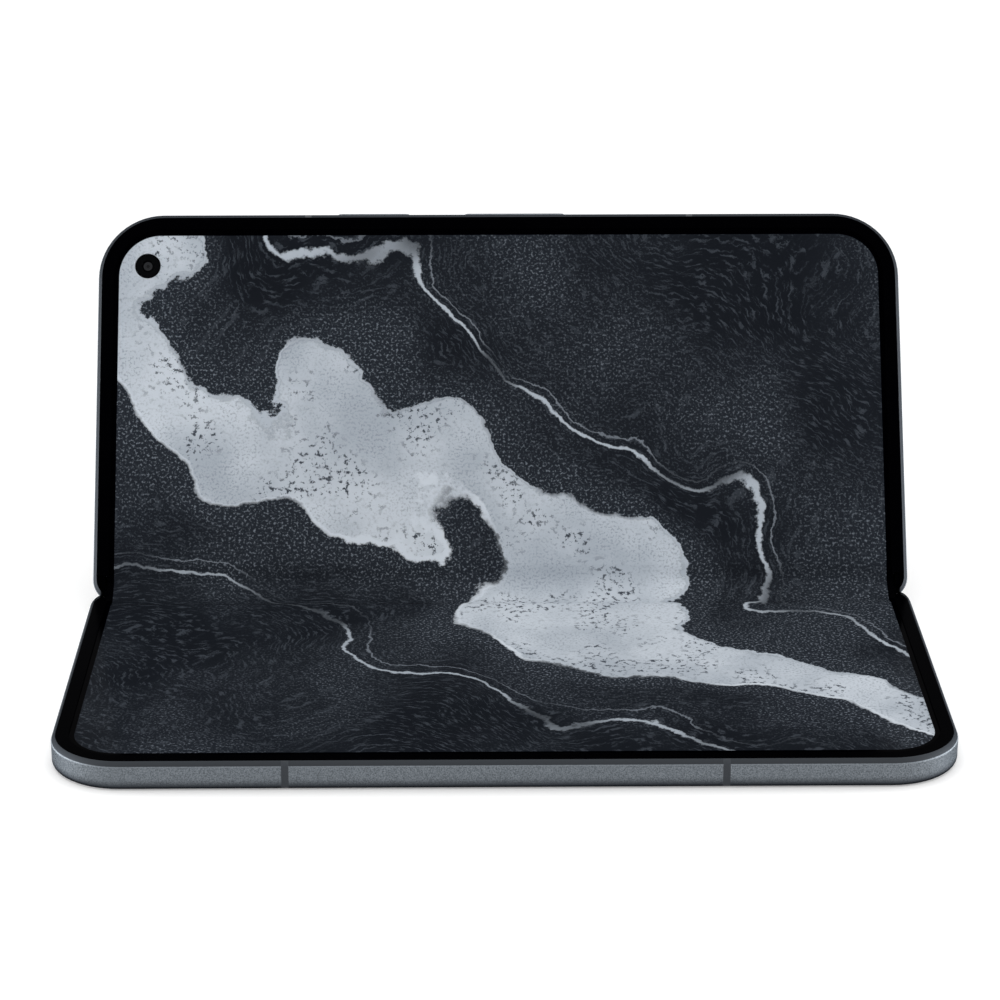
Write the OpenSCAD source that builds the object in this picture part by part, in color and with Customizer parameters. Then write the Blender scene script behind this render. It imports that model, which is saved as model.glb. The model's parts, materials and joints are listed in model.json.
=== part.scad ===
// Book-style folding telephone, half open and standing on its lower half like a small laptop.
// Two flat halves swing on a two-axis geared hinge and share one bending screen.
// Millimetres. X runs along the hinge, Y from the front edge towards the hinge, Z up.
// The origin is the centre of the face that the lower half rests on.
//
// Each half is drawn flat in "half space": y = 0 is the hinge plane, y = half_len the outer
// edge, z = 0 the outside face and z = thick the lip round the screen.
// "Spine space" is the same with the phone opened flat and the lower half at negative y.

/* [Body] */
// Length of the body along the hinge
body_w = 155.2; // [150:0.1:162]
// Length of one half from its outer edge to the hinge plane
half_len = 75.1; // [73:0.1:80]
// Thickness of one half up to its lip
thick = 5.1; // [5:0.1:5.6]
// Radius of the outer corners in plan
corner_r = 12.6; // [9:0.1:15]
// Angle between the two halves as the phone stands
opening = 121; // [100:1:150]

/* [Frame] */
// Width of the bevel round the lip
rim_w = 0.75; // [0.5:0.05:0.9]
// Height of the bevel round the lip
rim_drop = 1; // [0.7:0.05:1.2]
// Bulge of the bevel, which makes it slightly crowned
rim_crown = 0.07; // [0:0.01:0.1]
// Rounding of the frame's edge on the outside face
back_round = 0.95; // [0.6:0.05:1]
// Width of the frame's side rails
rail_w = 2.2; // [1.9:0.1:2.3]
// Thickness of the plate that carries the screen
plate_t = 0.4; // [0.3:0.05:0.5]
// Gap from the hinge plane to each half
end_gap = 0.15; // [0.1:0.05:0.2]
// How far the side rails turn inwards at the hinge
turn_w = 1.45; // [1:0.05:1.5]
// Length of that turn
turn_l = 3.2; // [2.8:0.1:3.6]
// Width of the antenna breaks
break_w = 1.25; // [0.8:0.05:1.6]
// Distance of the antenna breaks from the middle
break_x = 37.05; // [30:0.5:44]

/* [Screen] */
// Thickness of the bending screen with its backing
screen_t = 0.6; // [0.5:0.05:0.65]
// How far the screen lies below the lip
screen_drop = 0.2; // [0.15:0.05:0.25]
// Distance of the screen's edge from the outside of the frame
screen_edge = 2.75; // [2.6:0.05:2.9]
// Overlap of the lip over the screen's edge
lip_over = 0.35; // [0.2:0.05:0.5]
// Distance from the hinge plane at which the screen starts to bend
bend_l = 6; // [5:0.1:6.5]
// Radius of the camera hole in the screen
punch_r = 2.5; // [2:0.1:2.6]

/* [Hinge] */
// Depth of the hinge axes below the lip
axis_drop = 1.2; // [1.15:0.05:1.25]
// Gap between the lips when the phone is shut
shut_gap = 0.3; // [0.2:0.05:0.4]
// Thickness of the halves under the spine
back_wall = 0.5; // [0.4:0.05:0.55]
// Running gap between the spine and the halves
spine_gap = 0.15; // [0.1:0.05:0.2]
// Wall of the spine
spine_wall = 0.4; // [0.3:0.05:0.45]
// Running gap of the swing arms in the spine
arm_gap = 0.05; // [0.04:0.01:0.08]
// Width of a swing arm
arm_w = 3; // [2.5:0.1:3.2]
// Distance of the two hinge movements from the middle
hinge_x = 50; // [40:1:58]
// Teeth of a full swing arm ring
ring_n = 24; // [24:1:24]
// Teeth of a synchronising gear
gear_n = 13; // [13:1:13]
// Pressure angle of the teeth
press_angle = 22; // [20:1:24]
// Play between the teeth at the pitch line
backlash = 0.03; // [0.02:0.005:0.05]
// Radius of the gear journals
journal_r = 0.5; // [0.4:0.05:0.55]
// Distance of the support plate's pivot from the hinge plane
wing_y = 8.2; // [8:0.1:8.6]
// Thickness of a support plate
wing_t = 0.3; // [0.25:0.05:0.35]
// Radius of the support plate's pivots
wing_pin_r = 0.2; // [0.15:0.01:0.22]
// Radial gap of pins in their holes
pin_gap = 0.03; // [0.02:0.005:0.05]

/* [Outside faces] */
// Thickness of the glass on the outside faces
glass_t = 0.6; // [0.5:0.05:0.7]
// Distance of that glass from the outside of the frame
glass_edge = 1.25; // [1.1:0.05:1.4]
// Distance of that glass from the hinge plane
glass_y = 7; // [6.5:0.1:7.5]
// Width of the camera bump, along the hinge
bump_w = 33; // [30:0.5:36]
// Length of the camera bump, across the hinge
bump_l = 31; // [29:0.5:33]
// Height of the camera bump
bump_h = 2.2; // [1.6:0.1:3]
// Radius of the large camera windows
lens_r = 5.6; // [5:0.1:6]

/* [Controls] */
// Length of the power button
power_l = 14.1; // [10:0.1:16]
// Place of the power button along the edge
power_x = -24.35; // [-28:0.1:-22]
// Length of the volume rocker
volume_l = 19.6; // [16:0.1:24]
// Place of the volume rocker along the edge
volume_x = 3.1; // [0:0.1:8]
// Height of both buttons
button_h = 1.9; // [1.5:0.1:2.1]
// How far both buttons stand proud
button_proud = 0.45; // [0.3:0.05:0.6]
// Travel of the buttons
button_travel = 0.25; // [0.15:0.05:0.3]
// Gap round the buttons and the tray
slot_gap = 0.1; // [0.08:0.01:0.15]

/* [Inside] */
// Gap between the inner parts and what holds them
seat_gap = 0.1; // [0.05:0.05:0.15]
// Width of both batteries, along the hinge
battery_w = 84; // [70:1:88]
// Thickness of both batteries
battery_t = 2.5; // [2:0.1:2.6]
// Thickness of the circuit boards
board_t = 0.6; // [0.5:0.05:0.8]
// Width of the SIM tray
tray_w = 12.6; // [11:0.1:14]
// Length of the SIM tray
tray_l = 15.5; // [14:0.1:17]

/* [Hidden] */
$fn = 64;

// Heights of the layers in a half
screen_top = thick - screen_drop;
plate_top = screen_top - screen_t;
plate_low = plate_top - plate_t;
// Flat pieces lie this far below the plate that they are taped to
lay_gap = 0.05;
// Press fit of a turned piece in its bore
fit_gap = 0.02;
// Each half turns about its own axis in the spine
axis_z = thick - axis_drop;
axis_y = shut_gap / 2 + axis_drop;
tilt = (180 - opening) / 2;
// Radii round a hinge axis, from the outside in
cavity_r = axis_z - back_wall;
spine_r = cavity_r - spine_gap;
spine_in = spine_r - spine_wall;
arm_r = spine_in - arm_gap;
pitch_r = arm_r - 0.5;
tooth_m = 2 * pitch_r / ring_n;
gear_r = tooth_m * gear_n / 2;
addendum = 0.8 * tooth_m;
dedendum = tooth_m;
tip_r = pitch_r - addendum;
rib_in = tip_r;
rib_out = pitch_r + 0.15;
// Top of the rounded ends, which roll past each other as the phone shuts
end_r = axis_y - 0.05;
// The synchronising gears lie side by side between the axes
gear_y = gear_r;
gear_off = pitch_r - gear_r;
gear_z = axis_z - sqrt(pow(gear_off, 2) - pow(axis_y - gear_y, 2));
// Direction from a hinge axis to its gear, and the gear's turn for one turn of the half
mesh_dir = atan2(gear_z - axis_z, gear_y - axis_y);
gear_ratio = pitch_r / gear_r;
// Half the angle over which a gear's teeth reach into its ring, seen from the hinge axis
mesh_reach = acos((pow(gear_off, 2) + pow(tip_r, 2) - pow(gear_r + addendum, 2)) / (2 * gear_off * tip_r));
// Layout of a hinge movement along X: outer walls, two arm stations and the meshing gap
station_x = 3.5;
mid_wall_in = 1.2;
mid_wall_out = 1.8;
end_wall_t = 1;
face_gap = 0.1;
end_wall_in = station_x + arm_w / 2 + face_gap;
end_wall_out = end_wall_in + end_wall_t;
rib_l = 0.55;
housing_top = axis_z - 0.2;
// Swing arm: the ring starts just under the screen and ends in a bracket
skim = 0.05;
ring_start = 180 - asin((plate_top - skim - axis_z) / arm_r);
bracket_top = axis_z - 0.5;
bracket_t = 0.5;
bracket_low = bracket_top - bracket_t;
ring_end = 360 - asin((axis_z - bracket_top) / arm_r);
bracket_y0 = axis_y + pitch_r;
bracket_y1 = 7.7;
bracket_y2 = 12;
bracket_w = 9;
screw_dx = 2.8;
screw_y = 10;
screw_r = 0.5;
screw_head_r = 0.95;
screw_head_t = 0.35;
screw_l = 2.2;
screw_hex_r = 0.4;
screw_side_gap = 0.05;
boss_margin = 1;
// Hinge rail of the frame
plate_y0 = wing_y + 0.25;
rail_y1 = plate_y0 + 0.95;
wing_seat_z = plate_low - 0.15;
wing_shut_slope = 21;
boss_y1 = bracket_y2 + 0.6;
weld = 0.1;
turn_angle = 2 * atan(turn_w / turn_l);
turn_r = turn_l / sin(turn_angle);
turn_y = end_gap + turn_l;
// The turn is swept a little too far and cut off square at the hinge plane
turn_past = 2;
turn_sweep = turn_angle + turn_past;
corner_in = 0.2;
lip_y0 = turn_y + 0.65;
tail_top = plate_top + 0.3;
tail_y0 = 0.5;
// Inner space
inner_low = glass_t;
cavity_x = body_w / 2 - rail_w;
// The spine ends short of the inner tips of the turned rails
spine_side = 0.15;
spine_x = body_w / 2 - turn_r + (turn_r - rail_w) * cos(turn_sweep) - spine_side;
cap_t = 0.5;
// Support plate, which swings between the spine's end plugs
wing_skin = 0.1;
wing_z = plate_top - wing_pin_r - pin_gap - wing_skin;
wing_y0 = axis_y + 0.35;
wing_side = 0.1;
wing_x = spine_x - cap_t - wing_side;
wing_pin_in = 0.6;
wing_tilt = tilt * 2 / 9;
wing_window_x = end_wall_out + 1.1;
wing_window_y = 7.2;
// Cameras
punch_x = -(body_w / 2 - 9.55);
punch_y = half_len - 10.33;
punch_gap = 0.1;
bump_margin = 6;
bump_x = -(body_w / 2 - bump_margin - bump_w / 2);
bump_y = half_len - bump_margin - bump_l / 2;
bump_corner = 8;
bump_bevel = 0.5;
lens_inset_x = 8.8;
lens_inset_y = 8.3;
lens_dx = bump_w / 2 - lens_inset_x;
lens_dy = bump_l / 2 - lens_inset_y;
// The flash takes the corner behind the inner camera, where no deep module fits
lens_spots = [[-lens_dx, -lens_dy], [lens_dx, -lens_dy], [lens_dx, lens_dy]];
flash_spot = [-lens_dx, lens_dy];
flash_r = 2.6;
ring_h = 0.5;
ring_w = 0.9;
window_t = 0.6;
window_low = -bump_h - ring_h + 0.25;
module_w = 11.2;
// Buttons
button_z = 2.35;
flange_t = 0.5;
flange_in = 1.15;
flange_more = 0.35;
pocket_gap = 0.3;
pusher_r = 0.6;
pusher_more = 0.15;
crown_t = 0.15;
crown_in = 0.12;
rocker_throw = 8.2;
dome_gap = 0.02;
dome_h = 0.1;
switch_t = 0.5;
switch_r = 1.1;
dome_r = 0.7;
strip_t = 0.3;
strip_h = 2.9;
strip_end = 4;
switch_d = rail_w + pusher_more + button_travel + dome_gap + dome_h;
// Tray and ports in the right-hand rails
tray_y = 46;
tray_z = 2.2;
tray_t = 0.7;
tray_face_h = 1.6;
tray_face_t = 1.1;
tray_face_more = 1;
eject_r = 0.4;
eject_in = 1;
card_rim = 1;
card_w = 12.6;
card_l = 9;
card_cut = 1.8;
reader_wall = 1;
reader_back = 0.4;
tray_end_gap = 0.4;
port_from_end = 37.1;
usb_y = half_len - port_from_end;
usb_z = 2.35;
usb_w = 8.34;
usb_h = 2.56;
usb_wall = 0.15;
usb_l = 7.35;
usb_in = 0.4;
hole_r = 0.45;
hole_step = 1.7;
hole_z = 2.4;
base_sound_y = 22;
lid_sound_from_end = 19.1;
lid_sound_y = half_len - lid_sound_from_end;
// Colours
graphite = "#5c6166";
dark = "#26282b";
black = "#0b0b0d";
steel = "#8f949b";
brassy = "#b89a5a";
green = "#1f5a3c";
foil = "#70757d";

// ---------- shared helpers ----------

// Points of an arc from angle a to angle b
function arc(cx, cy, r, a, b, n) =
    [for (i = [0 : n]) let (t = a + (b - a) * i / n) [cx + r * cos(t), cy + r * sin(t)]];

function turn(p, a) = [p[0] * cos(a) - p[1] * sin(a), p[0] * sin(a) + p[1] * cos(a)];

function ease(t) = t < 0 ? 0 : t > 1 ? 1 : t * t * (3 - 2 * t);

// Moves a flat drawing of the lower half, the spine or the upper half to where it stands
module place_base() translate([0, half_len / 2, 0]) mirror([0, 1, 0]) children();

module place_spine()
    translate([0, half_len / 2 - axis_y, axis_z]) rotate([tilt, 0, 0])
        translate([0, axis_y, -axis_z]) children();

module place_lid()
    place_spine() translate([0, axis_y, axis_z]) rotate([tilt, 0, 0])
        translate([0, -axis_y, -axis_z]) children();

module both_sides() {
    children();
    mirror([1, 0, 0]) children();
}

// Lifts a plan drawing between two heights
module slab(z0, z1) translate([0, 0, z0]) linear_extrude(z1 - z0) children();

// Stretches a drawing made in the plane of y and z along X
module along_x(x0, x1) translate([x0, 0, 0]) rotate([90, 0, 90]) linear_extrude(x1 - x0) children();

// Stretches a drawing made in the plane of x and z along Y
module along_y(y0, y1) translate([0, y1, 0]) rotate([90, 0, 0]) linear_extrude(y1 - y0) children();

module rounded_rect(w, l, r) {
    square([w - 2 * r, l], center = true);
    square([w, l - 2 * r], center = true);
    for (x = [-1, 1], y = [-1, 1])
        translate([x * (w / 2 - r), y * (l / 2 - r)]) circle(r);
}

// Outline of a half, set in from the frame's outside, from y0 to the outer edge
module half_outline(inset, y0) {
    w = body_w / 2 - inset;
    y1 = half_len - inset;
    r = corner_r - inset;
    translate([-w, y0]) square([2 * w, y1 - r - y0]);
    translate([-w + r, y0]) square([2 * (w - r), y1 - y0]);
    for (x = [-1, 1]) translate([x * (w - r), y1 - r]) circle(r);
}

// Sweeps a rail section: x is outwards from the frame's outside face, y is height
module outer_run() {
    x1 = body_w / 2 - corner_r;
    translate([0, half_len, 0]) along_x(-x1, x1) children();
}

module corner_run()
    translate([body_w / 2 - corner_r, half_len - corner_r, 0])
        rotate_extrude(angle = 90) translate([corner_r, 0]) children();

module side_run(y0, y1) translate([body_w / 2, 0, 0]) along_y(y0, y1) children();

// The turned-in end of a side rail, at the hinge, with a block that fills its inner corner
// up to just under the plate
module turned_run() {
    translate([body_w / 2 - turn_r, turn_y, 0]) rotate([0, 0, -turn_sweep])
        rotate_extrude(angle = turn_sweep) translate([turn_r, 0]) children();
    intersection() {
        translate([-turn_w - corner_in, 0, 0]) side_run(0, turn_y) children();
        translate([cavity_x - weld, 0, 0]) cube([rail_w, turn_y, plate_top - weld]);
    }
}

// What is cleared away at the hinge plane so that the two halves roll past each other
module end_cut(y0 = end_gap)
    along_x(-body_w, body_w) {
        translate([-thick, -thick]) square([thick + y0, 3 * thick]);
        difference() {
            translate([-thick, axis_z]) square([thick + axis_y, thick]);
            translate([axis_y, axis_z]) circle(end_r);
        }
    }

// Room between the turned-in rails for the edges of the bending screen
module bend_room() {
    x = body_w / 2 - screen_edge + seat_gap / 2;
    translate([-x, -weld, plate_low]) cube([2 * x, turn_y + 2 * weld, thick]);
}

// ---------- frames ----------

// Bevel from the lip down to the wall, as points from the wall upwards
rim_points = [for (i = [0 : 4]) let (t = i / 4, b = rim_crown * 4 * t * (1 - t))
    [-rim_w * t + 0.8 * b, thick - rim_drop * (1 - t) + 0.6 * b]];

module rail_section(glazed)
    polygon(concat(
        rim_points,
        [[-rim_w, plate_top], [-rail_w, plate_top]],
        glazed ? [[-rail_w, glass_t], [-glass_edge, glass_t], [-glass_edge, 0]] : [[-rail_w, 0]],
        arc(-back_round, back_round, back_round, -90, 0, 6)));

module hinge_rail_section()
    difference() {
        polygon([[end_gap, 0], [glass_y, 0], [glass_y, glass_t], [rail_y1, glass_t],
            [rail_y1, plate_top], [plate_y0, plate_top], [plate_y0, wing_seat_z],
            [axis_y, wing_seat_z - (plate_y0 - axis_y) * tan(wing_shut_slope)],
            [end_gap, back_wall]]);
        translate([axis_y, axis_z]) circle(cavity_r);
        translate([-1, back_wall]) square([axis_y + 1, thick]);
    }

// Plan of a swing arm's bracket, grown by a clearance
module bracket_plan(x, gap) {
    translate([x - arm_w / 2 - gap, bracket_y0]) square([arm_w + 2 * gap, bracket_y1 + 1 - bracket_y0]);
    translate([x - bracket_w / 2 - gap, bracket_y1 - gap])
        square([bracket_w + 2 * gap, bracket_y2 - bracket_y1 + 2 * gap]);
}

module half_frame(stations) {
    difference() {
        union() {
            outer_run() rail_section(true);
            both_sides() {
                corner_run() rail_section(true);
                side_run(glass_y, half_len - corner_r) rail_section(true);
                side_run(turn_y, glass_y) rail_section(false);
                turned_run() rail_section(false);
            }
            slab(plate_low, plate_top) half_outline(rail_w - weld, plate_y0);
            along_x(-cavity_x, cavity_x) hinge_rail_section();
            for (x = stations)
                translate([x - bracket_w / 2 - boss_margin, rail_y1 - weld, inner_low])
                    cube([bracket_w + 2 * boss_margin, boss_y1 - rail_y1 + weld,
                        plate_low - inner_low + weld]);
        }
        end_cut();
        bend_room();
        for (x = stations) {
            slab(bracket_low, thick) bracket_plan(x, seat_gap);
            for (s = [-1, 1])
                translate([x + s * screw_dx, screw_y, bracket_top - screw_l])
                    cylinder(r = screw_r + fit_gap, h = screw_l);
        }
        translate([0, wing_y, wing_z]) rotate([0, 90, 0])
            cylinder(r = wing_pin_r + pin_gap, h = 2 * (cavity_x + wing_pin_in + 0.2), center = true);
    }
}

// Slices of the outer rail that are plastic instead of metal
module break_slices()
    for (s = [-1, 1])
        translate([s * break_x - break_w / 2, half_len - rail_w - weld, -1])
            cube([break_w, rail_w + 1, thick + 2]);

module antenna_breaks() color(dark)
    intersection() {
        outer_run() rail_section(true);
        break_slices();
    }

base_stations = [-hinge_x - station_x, hinge_x - station_x];
lid_stations = [-hinge_x + station_x, hinge_x + station_x];

// Row of sound holes through the right-hand rail
module sound_holes(y, count)
    for (i = [0 : count - 1])
        translate([cavity_x - 1, y + (i - (count - 1) / 2) * hole_step, hole_z])
            rotate([0, 90, 0]) cylinder(r = hole_r, h = rail_w + 2);

// Slot with round ends through the right-hand rail: width along Y, height along Z
module side_slot(y, z, w, h)
    translate([cavity_x - 1, y, z]) rotate([90, 0, 90]) linear_extrude(rail_w + 2)
        rounded_rect(w, h, h / 2 - 0.01);

module base_frame() color(graphite) place_base()
    difference() {
        half_frame(base_stations);
        break_slices();
        side_slot(tray_y, tray_z, tray_w + tray_face_more + 2 * slot_gap, tray_face_h + 2 * slot_gap);
        both_sides() sound_holes(base_sound_y, 5);
    }

module lid_frame() color(graphite) place_lid()
    difference() {
        half_frame(lid_stations);
        break_slices();
        button_slot(power_x, power_l);
        button_slot(volume_x, volume_l);
        side_slot(usb_y, usb_z, usb_w + 2 * (usb_wall + slot_gap), usb_h + 2 * (usb_wall + slot_gap));
        sound_holes(lid_sound_y, 6);
        translate([punch_x, punch_y, plate_low - 1]) cylinder(r = punch_r + punch_gap, h = 2);
    }

// ---------- lips round the screen ----------

module lip_section()
    polygon([[-rim_w, plate_top], [-rim_w, thick], [-screen_edge - lip_over, thick],
        [-screen_edge - lip_over, screen_top], [-screen_edge + seat_gap / 2, screen_top],
        [-screen_edge + seat_gap / 2, plate_top]]);

// The lip's tail along the turned-in end, drawn in all round by less
module lip_tail_section(less = 0)
    translate([-rail_w + less, plate_top + less])
        square([rail_w - rim_w - 2 * less, tail_top - plate_top - 2 * less]);

module bezel() color(black)
    difference() {
        union() {
            outer_run() lip_section();
            both_sides() {
                corner_run() lip_section();
                side_run(lip_y0, half_len - corner_r) lip_section();
                side_run(turn_y, lip_y0 + weld) lip_tail_section();
                side_run(turn_y - weld, turn_y + weld) lip_tail_section(weld);
                turned_run() lip_tail_section();
            }
        }
        end_cut(tail_y0);
        bend_room();
    }

module base_bezel() place_base() bezel();
module lid_bezel() place_lid() bezel();

// ---------- screen ----------

module screen_half() slab(plate_top, screen_top) half_outline(screen_edge, plate_y0);

module base_screen() color("#15181c") place_base() screen_half();

module lid_screen() color("#15181c") place_lid()
    difference() {
        screen_half();
        translate([punch_x, punch_y, plate_low]) cylinder(r = punch_r, h = 2);
    }

// Point of the bent screen: s along the screen from the hinge plane, h above the hinge axis
function bent(s, h) =
    let (a = tilt * ease(s / bend_l), p = turn([s - axis_y, h], a)) [axis_y + p[0], axis_z + p[1]];

module screen_fold() color("#15181c") {
    steps = 16;
    high = [for (i = [0 : steps]) bent(plate_y0 * i / steps, screen_top - axis_z)];
    low = [for (i = [0 : steps]) bent(plate_y0 * i / steps, plate_top - axis_z)];
    x1 = body_w / 2 - screen_edge;
    place_spine() along_x(-x1, x1)
        polygon(concat(
            [for (i = [steps : -1 : 1]) [-high[i][0], high[i][1]]], high,
            [for (i = [steps : -1 : 0]) low[i]],
            [for (i = [1 : steps]) [-low[i][0], low[i][1]]]));
}

// ---------- hinge ----------

// Section of the spine: two cylinders round the axes and the flat between them
module spine_section(r, top)
    intersection() {
        union() {
            for (s = [-1, 1]) translate([s * axis_y, axis_z]) circle(r);
            translate([-axis_y, axis_z - r]) square([2 * axis_y, 2 * r]);
        }
        translate([-2 * thick, 0]) square([4 * thick, top]);
    }

spine_top = axis_z - 0.05;
notch_low = bracket_low - 0.1;
notch_gap = 0.2;
notch_in = 2;
// Fin beside the screen on each end plug, between the screen's edge and the rails
fin_x0 = body_w / 2 - screen_edge + fit_gap;
fin_x1 = cavity_x - weld - 0.1;
fin_w = 1;
fin_low = 1;

module spine_cover() color("#3d4145") place_spine()
    difference() {
        along_x(-spine_x, spine_x)
            difference() {
                spine_section(spine_r, spine_top);
                spine_section(spine_in, thick);
            }
        for (x = base_stations) arm_notch(x, -1);
        for (x = lid_stations) arm_notch(x, 1);
    }

// Where a bracket leaves the spine over its wall
module arm_notch(x, side)
    mirror([0, side > 0 ? 0 : 1, 0])
        translate([x - arm_w / 2 - notch_gap, axis_y + notch_in, notch_low])
            cube([arm_w + 2 * notch_gap, thick, thick]);

// End plug of the spine with the fin that fills the gap beside the screen
module spine_end_caps() color(black) place_spine()
    both_sides() {
        along_x(spine_x - cap_t, spine_x) spine_section(spine_in - fit_gap, spine_top);
        translate([spine_x - weld, -fin_w / 2, axis_z - fin_low])
            cube([fin_x1 - spine_x + weld, fin_w, spine_top - axis_z + fin_low]);
        translate([fin_x0, -fin_w / 2, axis_z - fin_low])
            cube([fin_x1 - fin_x0, fin_w, screen_top - axis_z + fin_low]);
    }

// Involute helpers: the angle that a flank has turned through at radius r
function inv_angle(base_r, r) = let (a = acos(min(1, base_r / r))) tan(a) * 180 / PI - a;
// Half the angle of an external tooth at radius r
function tooth_half(r, play) =
    let (pr = gear_r, br = pr * cos(press_angle))
    (90 / gear_n) - play / (2 * pr) * 180 / PI + inv_angle(br, pr) - inv_angle(br, max(r, br));
// Half the angle of an internal space at radius r
function space_half(r) =
    let (br = pitch_r * cos(press_angle))
    (90 / ring_n) + inv_angle(br, pitch_r) - inv_angle(br, max(r, br));

flank_n = 4;

// Section of a synchronising gear with a tooth at angle zero
module gear_section() {
    r0 = gear_r - dedendum;
    r1 = gear_r + addendum;
    polygon([for (k = [0 : gear_n - 1]) let (c = 360 * k / gear_n)
        each concat(
            [let (a = c - tooth_half(r0, backlash) - 2) [r0 * cos(a), r0 * sin(a)]],
            [for (i = [0 : flank_n]) let (r = r0 + (r1 - r0) * (i + 1) / (flank_n + 1),
                a = c - tooth_half(r, backlash)) [r * cos(a), r * sin(a)]],
            [for (i = [flank_n : -1 : 0]) let (r = r0 + (r1 - r0) * (i + 1) / (flank_n + 1),
                a = c + tooth_half(r, backlash)) [r * cos(a), r * sin(a)]],
            [let (a = c + tooth_half(r0, backlash) + 2) [r0 * cos(a), r0 * sin(a)]])]);
}

// The gears' phase with the phone flat: the upper half's gear has a tooth towards its twin,
// and the twin has a space there
function tooth_dir(first, toward) = first + 360 / gear_n * round((toward - first) / (360 / gear_n));
lid_tooth = 180;
base_tooth = 180 / gear_n;
// In base mirror space both arms look the same, so the base gear's first tooth is mirrored
function ring_space(first) =
    let (m = mesh_dir + 360) m + (tooth_dir(first, m) - m) * gear_r / pitch_r;

// Ring of a swing arm, seen flat round its own axis, with its inner teeth
module ring_section(first) {
    c0 = ring_space(first);
    step = 360 / ring_n;
    last = mesh_dir + 360 + mesh_reach + step / 2;
    r0 = tip_r - 0.05;
    r1 = pitch_r + dedendum;
    difference() {
        polygon(concat(arc(0, 0, arm_r, ring_start, ring_end, 40),
            arc(0, 0, tip_r, ring_end, ring_start, 40)));
        for (k = [-ceil(180 / step) : ceil(60 / step)]) {
            c = c0 + k * step;
            if (c > ring_start - step / 2 && c < last)
                polygon(concat(
                    [for (i = [0 : flank_n]) let (r = r0 + (r1 - r0) * i / flank_n,
                        a = c - space_half(r)) [r * cos(a), r * sin(a)]],
                    [for (i = [flank_n : -1 : 0]) let (r = r0 + (r1 - r0) * i / flank_n,
                        a = c + space_half(r)) [r * cos(a), r * sin(a)]]));
        }
    }
}

// Swing arm in half space: toothed ring, guide rib on its outer face and bracket
module swing_arm(x, rib_side, first) {
    translate([0, axis_y, axis_z]) {
        along_x(x - arm_w / 2, x + arm_w / 2) ring_section(first);
        along_x(rib_side > 0 ? x + arm_w / 2 - weld : x - arm_w / 2 - rib_l,
                rib_side > 0 ? x + arm_w / 2 + rib_l : x - arm_w / 2 + weld)
            polygon(concat(arc(0, 0, rib_out, ring_start, ring_end, 30),
                arc(0, 0, rib_in, ring_end, ring_start, 30)));
    }
    difference() {
        slab(bracket_low, bracket_top) bracket_plan(x, 0);
        for (s = [-1, 1])
            translate([x + s * screw_dx, screw_y, bracket_low - 1])
                cylinder(r = screw_r + screw_side_gap, h = bracket_t + 2);
    }
}

module base_swing_arms() color(steel) place_base()
    for (x = base_stations) swing_arm(x, -1, 180 - base_tooth);

module lid_swing_arms() color(steel) place_lid()
    for (x = lid_stations) swing_arm(x, 1, lid_tooth);

module arm_screws(stations)
    for (x = stations, s = [-1, 1])
        translate([x + s * screw_dx, screw_y, 0]) {
            difference() {
                slab(bracket_top, bracket_top + screw_head_t) circle(screw_head_r);
                slab(bracket_top + screw_head_t / 2, bracket_top + 1) circle(screw_hex_r, $fn = 6);
            }
            slab(bracket_top - screw_l + weld, bracket_top) circle(screw_r);
        }

module base_arm_screws() color(steel) place_base() arm_screws(base_stations);
module lid_arm_screws() color(steel) place_lid() arm_screws(lid_stations);

// Block that carries the gears and guides the arms, one in each hinge movement
module hinge_housing() {
    clear_r = spine_in + fit_gap;
    gear_hole = gear_r + addendum + 0.08;
    groove_gap = 0.04;
    difference() {
        along_x(-end_wall_out, end_wall_out) spine_section(spine_in - fit_gap, housing_top);
        // arm stations
        along_x(-end_wall_in, -mid_wall_out) {
            translate([-axis_y, axis_z]) circle(clear_r);
            translate([-2 * thick, notch_low]) square([2 * thick, thick]);
        }
        along_x(mid_wall_out, end_wall_in) {
            translate([axis_y, axis_z]) circle(clear_r);
            translate([0, notch_low]) square([2 * thick, thick]);
        }
        // arc grooves for the guide ribs
        for (s = [-1, 1])
            along_x(s > 0 ? end_wall_in - weld : -end_wall_in - rib_l - face_gap,
                    s > 0 ? end_wall_in + rib_l + face_gap : -end_wall_in + weld)
                difference() {
                    translate([s * axis_y, axis_z]) circle(rib_out + groove_gap);
                    translate([s * axis_y, axis_z]) circle(rib_in - groove_gap);
                }
        // passages of the gears, and the meshing gap between them
        along_x(-end_wall_in, mid_wall_in) translate([-gear_y, gear_z]) circle(gear_hole);
        along_x(-mid_wall_in, end_wall_in) translate([gear_y, gear_z]) circle(gear_hole);
        along_x(-mid_wall_in, mid_wall_in)
            translate([-gear_y, gear_z - 0.6]) square([2 * gear_y, thick]);
        // bearings
        for (s = [-1, 1])
            along_x(-end_wall_out - 1, end_wall_out + 1)
                translate([s * gear_y, gear_z]) circle(journal_r + pin_gap);
    }
}

module hinge_housings() color("#74787e") place_spine()
    for (x = [-hinge_x, hinge_x]) translate([x, 0, 0]) hinge_housing();

// Synchronising gear with its journals; side is that of the half that it meshes with
module sync_gear(side, first) {
    // The teeth end short of the guide rib's root, which fills the ring's spaces there
    far = station_x + arm_w / 2 - weld - face_gap / 2;
    near = mid_wall_in - face_gap;
    journal_far = end_wall_out - face_gap;
    journal_near = mid_wall_out - face_gap / 2;
    x0 = side > 0 ? -near : -far;
    x1 = side > 0 ? far : near;
    j0 = side > 0 ? -journal_near : -journal_far;
    j1 = side > 0 ? journal_far : journal_near;
    translate([0, side * gear_y, gear_z]) {
        along_x(x0, x1) rotate(first + side * tilt * gear_ratio) gear_section();
        along_x(j0, j1) circle(journal_r);
    }
}

module base_sync_gears() color(brassy) place_spine()
    for (x = [-hinge_x, hinge_x]) translate([x, 0, 0]) sync_gear(-1, base_tooth);

module lid_sync_gears() color(brassy) place_spine()
    for (x = [-hinge_x, hinge_x]) translate([x, 0, 0]) sync_gear(1, lid_tooth);

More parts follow.
